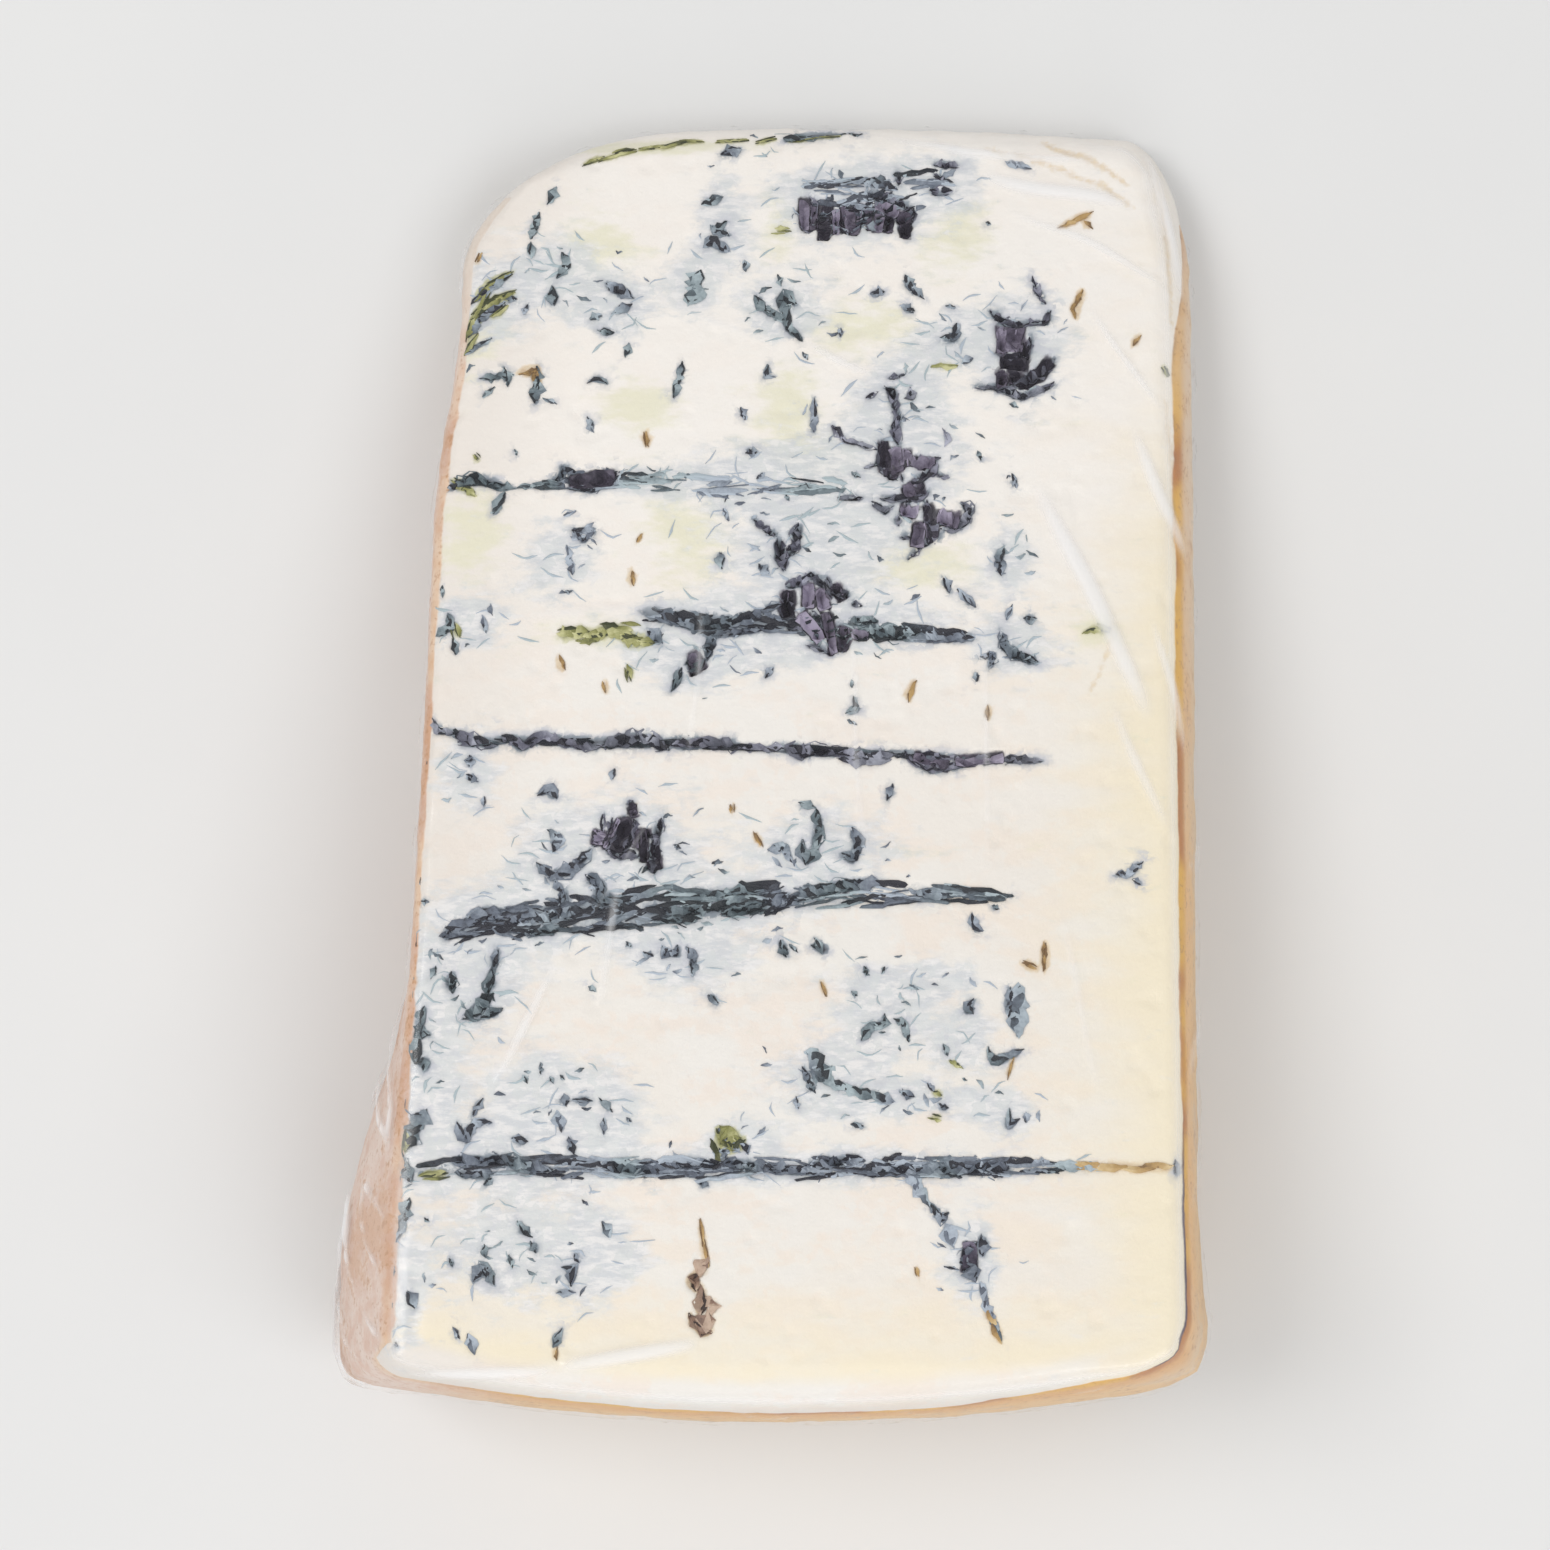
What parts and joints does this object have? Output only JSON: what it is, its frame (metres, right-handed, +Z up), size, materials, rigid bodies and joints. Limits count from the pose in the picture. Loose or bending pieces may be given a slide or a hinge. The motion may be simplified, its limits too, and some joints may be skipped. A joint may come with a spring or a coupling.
{
  "type": "gorgonzola wedge",
  "caption": "Wedge of soft blue-veined cheese lying on one cut face, with needle tracks and mould hollows in its upper cut face, rind on its heel and sides, and a skin of clear film.",
  "frame": {"origin": "centre of the bounding box, on the cut face that the wedge rests on", "axes": "+Z up from the rest face, +Y from the rind heel towards the tip, +X across the wedge along the needle tracks"},
  "size_m": [0.105, 0.1596, 0.0465],
  "materials": {
    "blue_cheese": "moist cream paste with slate-blue mould veins and a tan rind",
    "clear_film": "thin clear cling film with fine creases"
  },
  "bodies": {
    "root": {"gorgonzola_wedge": "blue_cheese"}
  },
  "joints": []
}
